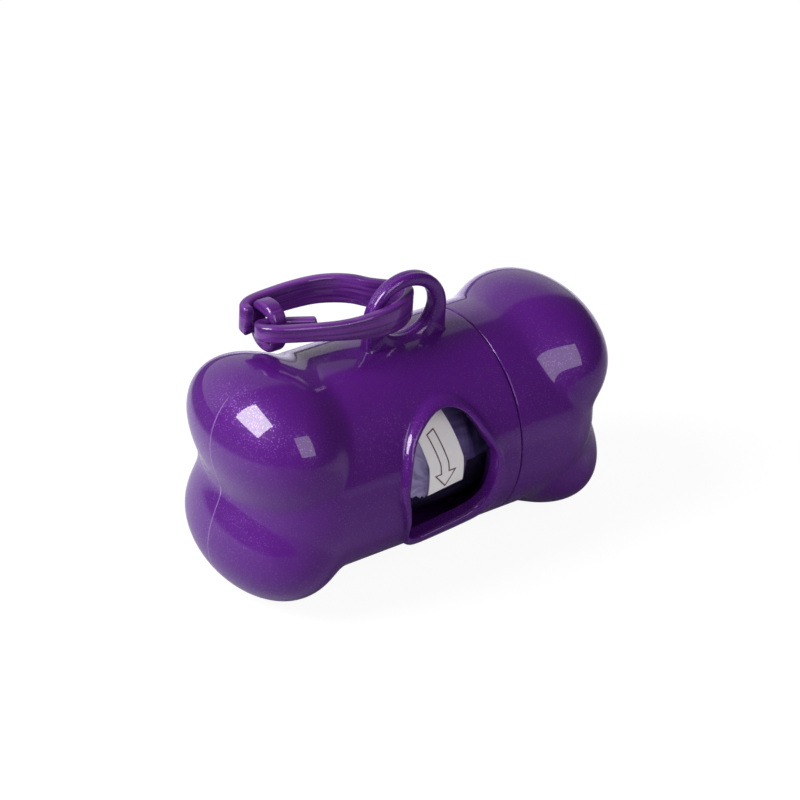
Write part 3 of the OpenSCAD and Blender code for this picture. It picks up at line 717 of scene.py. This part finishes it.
def printed_line(corners, width):
    """A closed printed line: its edges run parallel to the corners' outline, half the width
    to either side with mitred corners, and it lies on the label as a film of ink."""
    scaled = corners * (1, INK_MM_PER_DEG)
    edge = np.roll(scaled, -1, 0) - scaled
    edge /= np.linalg.norm(edge, axis=1)[:, None]
    normal = np.stack([edge[:, 1], -edge[:, 0]], -1)
    before = np.roll(normal, 1, 0)
    mitre = (normal + before) / (1 + (normal * before).sum(1))[:, None]
    steps = np.linspace(0, 1, 24, endpoint=False)[None, :, None]
    rails = []
    for off in (-width / 2, width / 2):
        p = scaled + mitre * off
        run = (p[:, None] + (np.roll(p, -1, 0) - p)[:, None] * steps).reshape(-1, 2)
        rails.append(np.concatenate([run, run[:1]]))
    section = ((0, INK_LOW), (0, INK_HIGH), (1, INK_HIGH), (1, INK_LOW), (0, INK_LOW))
    return np.stack([label_skin(rails[k][:, 0], rails[k][:, 1] / INK_MM_PER_DEG, lift)
                     for k, lift in section])


span = np.linspace(-0.5, 0.5, 40)[:, None] * LABEL_W
cut = flap_edge(LABEL_X + span)
label_angle = cut + (np.linspace(0, 1, 240) ** 1.3)[None, :] * (LABEL_END - cut)
paper, tree, shader = new_material("label_paper")
place = node(tree, "ShaderNodeTexCoord", (-900, 0)).outputs["Object"]
pulp = clouds(tree, (-680, 0), place, 700.0, 6.0)
fill(tree, shader, Roughness=0.6,
     Base_Color=between(tree, (-440, 60), pulp, (0.86, 0.82, 0.84), (0.97, 0.94, 0.95)),
     Normal=raised(tree, (-440, -200), pulp, 0.25, 0.0001))
label = solid("paper_label", sheet_grids(label_skin(span, label_angle, PAPER_T),
                                         label_skin(span, label_angle, 0.0)),
              "roll", paper, 50)
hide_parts("roll_label")

ink, tree, shader = new_material("brown_red_ink")
place = node(tree, "ShaderNodeTexCoord", (-900, 0)).outputs["Object"]
uneven = clouds(tree, (-680, 0), place, 1500.0, 3.0)
fill(tree, shader, Roughness=0.5,
     Base_Color=between(tree, (-440, 0), uneven, (0.09, 0.018, 0.035), (0.20, 0.06, 0.08)))
solid("printed_arrow", [printed_line(ARROW, INK_W)], "roll", ink, 50)

# ------------------------------------------------------------------------------------------
# Clip. One strap of tougher violet plastic, moulded flat and bent into a loop through the
# eyelet: the hook at one end is pushed through the eye at the other. Light and dark streaks run
# along it.
# ------------------------------------------------------------------------------------------
COURSE = np.array([               # x, y, height over the axis, and width of the strap
    (-17.1, 4.2, 25.5, 2.8), (-20.5, 5.8, 25.5, 3), (-24, 7.2, 25.6, 3.1),
    (-26.6, 7.1, 26.0, 3.1), (-27.3, 5, 26.5, 3.2), (-26, 2.9, 26.9, 3.2),
    (-23.2, 1.3, 27, 3.2), (-19.8, -0.2, 27, 3.3), (-16, -1.8, 27, 3.6),
    (-12.4, -2.7, 26.9, 4.2), (-8.5, -3.1, 26.8, 5), (-4.6, -2.7, 26.7, 5.5),
    (-1.3, -1.2, 26.7, 5.6), (0.9, 0.9, 26.7, 5.6), (0.7, 3, 26.7, 5.6),
    (-1.4, 4.9, 26.7, 5.6), (-3.5, 6.9, 26.7, 5.6), (-5.4, 9.4, 26.7, 5.6),
    (-8, 11.5, 26.6, 5.6), (-11.4, 12.8, 26.6, 5.5), (-16, 13.3, 26.6, 5.4),
    (-21, 13.2, 26.6, 5.3), (-25, 12.6, 26.6, 5.4), (-27.1, 11.4, 26.5, 5.5),
    (-27.2, 9.9, 26.3, 5.6)])
STRAP_T, STRAP_EDGE, STRAP_CAP = 1.9, 0.62, 0.6
EYE_AT, EYE_DEPTH, EYE_EDGE = (-25.5, 8.3, 25.4), 3.0, 0.7
EYE_HOLE, EYE_OUTSIDE = (2.65, 2.4, 6), (4.2, 4.8, 2.3)   # half width, half height, power
CLIP_PLASTIC = plastic("violet_strap_plastic", (0.072, 0.010, 0.150), (0.170, 0.036, 0.295),
                       0.30, 0.03, 0, (1.5, 4.0, 60))


def smooth_course(points, steps):
    """Catmull-Rom curve through the points, with that many steps from one to the next."""
    padded = np.concatenate([points[:1], points, points[-1:]])
    f = np.linspace(0, 1, steps, endpoint=False)[None, :, None]
    a, b, c, d = (padded[k:len(padded) - 3 + k, None] for k in range(4))
    run = 0.5 * (2 * b + (c - a) * f + (2 * a - 5 * b + 4 * c - d) * f ** 2
                 + (3 * b - a - 3 * c + d) * f ** 3)
    return np.concatenate([run.reshape(-1, points.shape[1]), points[-1:]])


def strap_grid():
    """The strap: a rounded rectangle carried along the course, standing on edge, its faces
    square to the course; both ends close in over rounded caps."""
    run = smooth_course(COURSE, 8)
    heading = np.gradient(run[:, :2], axis=0)
    heading /= np.linalg.norm(heading, axis=1)[:, None]
    quarter = np.linspace(0, math.pi / 2, 5)
    r = STRAP_EDGE
    corners = [(1, 1, 0), (-1, 1, 0.5), (-1, -1, 1), (1, -1, 1.5)]   # side, up, turn by pi
    side = [sx * (STRAP_T / 2 - r) + r * np.cos(math.pi * t + quarter) for sx, sz, t in corners]
    rise = [r * np.sin(math.pi * t + quarter) for sx, sz, t in corners]
    sign = [np.full(5, sz) for sx, sz, t in corners]
    side, rise, sign = (np.concatenate(v + [v[0][:1]]) for v in (side, rise, sign))
    up = sign * (run[:, 3:] / 2 - r) + rise
    x = run[:, :1] - heading[:, 1:] * side
    y = run[:, 1:2] + heading[:, :1] * side
    bar = np.stack([x, y, AXIS_Z + run[:, 2:3] + up], -1)
    caps = []
    for at, way in ((0, -1), (-1, 1)):
        middle = bar[at, :-1].mean(0)
        ahead = np.append(heading[at], 0) * way
        caps.append([middle + (bar[at] - middle) * math.cos(t) + ahead * STRAP_CAP * math.sin(t)
                     for t in (1.57079, 1.2, 0.8, 0.4)])
    return np.concatenate([caps[0], bar, caps[1][::-1]])


def oval_reach(turn, half_w, half_h, power):
    """Reach of the oval |x / half_w| ** power + |z / half_h| ** power = 1 at each angle."""
    c, s = np.abs(np.cos(turn)), np.abs(np.sin(turn))
    return ((c / half_w) ** power + (s / half_h) ** power) ** (-1 / power)


def eye_grid():
    """The eye: a section with rounded corners carried round its hole, from the hole's
    squarish oval to the outside's rounder one."""
    turn = np.linspace(0, 2 * math.pi, 161)
    hole, outside = oval_reach(turn, *EYE_HOLE), oval_reach(turn, *EYE_OUTSIDE)
    across, x = rounded_section(outside - hole, 0, EYE_DEPTH, EYE_EDGE, EYE_EDGE)
    r = hole[:, None] + across
    return np.stack([EYE_AT[0] + x + 0 * r, EYE_AT[1] + r * np.cos(turn)[:, None],
                     AXIS_Z + EYE_AT[2] + r * np.sin(turn)[:, None]], -1)


strap = solid("strap_part", [strap_grid()], "clip", CLIP_PLASTIC)
solid("eye_part", [eye_grid()], "clip", CLIP_PLASTIC)
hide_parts("clip")

# ------------------------------------------------------------------------------------------
# Studio. White floor and surroundings, one large window light from the upper left, a softer
# one from the right front, and the camera at the photograph's angle.
# ------------------------------------------------------------------------------------------
bpy.context.scene.view_settings.view_transform = "Standard"
FLOOR_HALF, FLOOR_Z = 4, -0.0002   # metres from here on
floor_mesh = bpy.data.meshes.new("floor")
floor_mesh.from_pydata([(FLOOR_HALF * x, FLOOR_HALF * y, FLOOR_Z)
                        for x, y in ((-1, -1), (1, -1), (1, 1), (-1, 1))], [], [(0, 1, 2, 3)])
floor = bpy.data.objects.new("floor", floor_mesh)
bpy.context.scene.collection.objects.link(floor)

# The floor shows white to the camera and takes the shadow. Mirrored in the gloss it has
# painted light and shade: dim in front, pale behind and on the right, dark far to the left.
white, tree, ground = new_material("floor_white")
fill(tree, ground, Roughness=0.9, Specular_IOR_Level=0.0)
seen = node(tree, "ShaderNodeLightPath", (-900, 300)).outputs
where = node(tree, "ShaderNodeTexCoord", (-1100, 0)).outputs["Object"]
depth = node(tree, "ShaderNodeVectorMath", (-900, 0), operation="DOT_PRODUCT", i0=where,
             i1=(-0.25, 0.97, 0)).outputs["Value"]
behind = ramp(tree, (-700, 0), depth, -0.03, 0.05, 0.22, 0.68)
leftwards = node(tree, "ShaderNodeVectorMath", (-900, -200), operation="DOT_PRODUCT", i0=where,
                 i1=(-0.755, 0.656, 0)).outputs["Value"]
far_left = ramp(tree, (-700, -200), leftwards, 0.095, 0.120, 1.0, 0.12)
rightwards = node(tree, "ShaderNodeSeparateXYZ", (-900, -400), Vector=where).outputs["X"]
right = ramp(tree, (-700, -400), rightwards, 0.045, 0.065, 1.0, 1.9)
# Painted light and shade of the floor, seen only in reflections.
painted_floor_shading = reckon(tree, (-600, -100), "MULTIPLY", behind, far_left)
painted_floor_shading = reckon(tree, (-560, -200), "MULTIPLY", painted_floor_shading, right)
painted_floor_tint = node(tree, "ShaderNodeVectorMath", (-520, -100), operation="SCALE",
            i0=(0.98, 0.92, 1.16), Scale=painted_floor_shading).outputs[0]
fill(tree, ground, Base_Color=between(tree, (-500, 0), seen["Is Glossy Ray"],
                                      (0.80, 0.80, 0.80), painted_floor_tint))
glow = node(tree, "ShaderNodeEmission", (100, -200), Color=(1, 1, 1, 1), Strength=1.09)
blend = node(tree, "ShaderNodeMixShader", (300, 0), i1=ground.outputs[0], i2=glow.outputs[0],
             i0=reckon(tree, (0, 200), "MULTIPLY", seen["Is Camera Ray"], 0.85))
fill(tree, tree.nodes["Material Output"], Surface=blend.outputs[0])
floor_mesh.materials.append(white)

# The room is white to the camera. Otherwise it is dark, with a pale wall behind the bone.
world = bpy.data.worlds.new("studio")
bpy.context.scene.world = world
world.use_nodes = True
room = world.node_tree
room.nodes.clear()
facing = node(room, "ShaderNodeTexCoord", (-1300, 0)).outputs["Generated"]
towards = node(room, "ShaderNodeVectorMath", (-1100, 0), operation="DOT_PRODUCT", i0=facing,
               i1=(0.138, 0.981, 0.139)).outputs["Value"]
height = node(room, "ShaderNodeSeparateXYZ", (-1100, -200), Vector=facing).outputs["Z"]
wall = node(room, "ShaderNodeMix", (-650, 0), data_type="FLOAT", i2=0.04,
            i0=ramp(room, (-900, 0), towards, 0.60, 0.66),
            i3=ramp(room, (-900, -200), height, 0.62, 0.40, 0.42, 0.58)).outputs[0]
seen = node(room, "ShaderNodeLightPath", (-700, 300)).outputs
strength = node(room, "ShaderNodeMix", (-450, 100), data_type="FLOAT",
                i0=seen["Is Camera Ray"], i2=wall, i3=1.0).outputs[0]
room_light = node(room, "ShaderNodeBackground", (-200, 0), Color=(1, 1, 1, 1),
                  Strength=strength)
node(room, "ShaderNodeOutputWorld", (50, 0), Surface=room_light.outputs[0])


def placed(name, data, axes, spot):
    """An object for a lamp or camera: axes are its right, up and back directions."""
    made = bpy.data.objects.new(name, data)
    made.matrix_world = Matrix([[axis[k] for axis in axes] + [spot[k]] for k in range(3)]
                               + [[0, 0, 0, 1]])
    bpy.context.scene.collection.objects.link(made)
    return made


def soft_light(name, spot, way, size, power, distance=0.7):
    """A square or oblong area light that many metres from a spot, along a direction."""
    lamp = bpy.data.lights.new(name, "AREA")
    lamp.shape = "RECTANGLE"
    lamp.size, lamp.size_y = size
    lamp.energy = power
    way = np.array(way) / np.linalg.norm(way)
    side = np.cross((0, 0, 1), way)
    side /= np.linalg.norm(side)
    placed(name, lamp, (side, np.cross(way, side), way), np.array(spot) + way * distance)


soft_light("window_light", (-0.036, -0.008, 0.04), (-0.722, 0.221, 0.656), (0.36, 0.45), 6.6)
soft_light("front_light", (0.010, -0.015, 0.038), (-0.04, -0.765, 0.643), (0.46, 0.45), 1.65)

CAMERA_AXES = [(0.80921448, -0.58465024, 0.05793115), (0.27591589, 0.46523581, 0.84108624),
               (-0.51869291, -0.66463504, 0.53778985)]
camera = bpy.data.cameras.new("photo_view")
camera.lens, camera.sensor_width = 116.64, 36.0
camera.clip_start, camera.clip_end = 0.01, 20.0
bpy.context.scene.camera = placed("photo_view", camera, CAMERA_AXES,
                                  (-0.245455, -0.314454, 0.260819 + 0.0223))
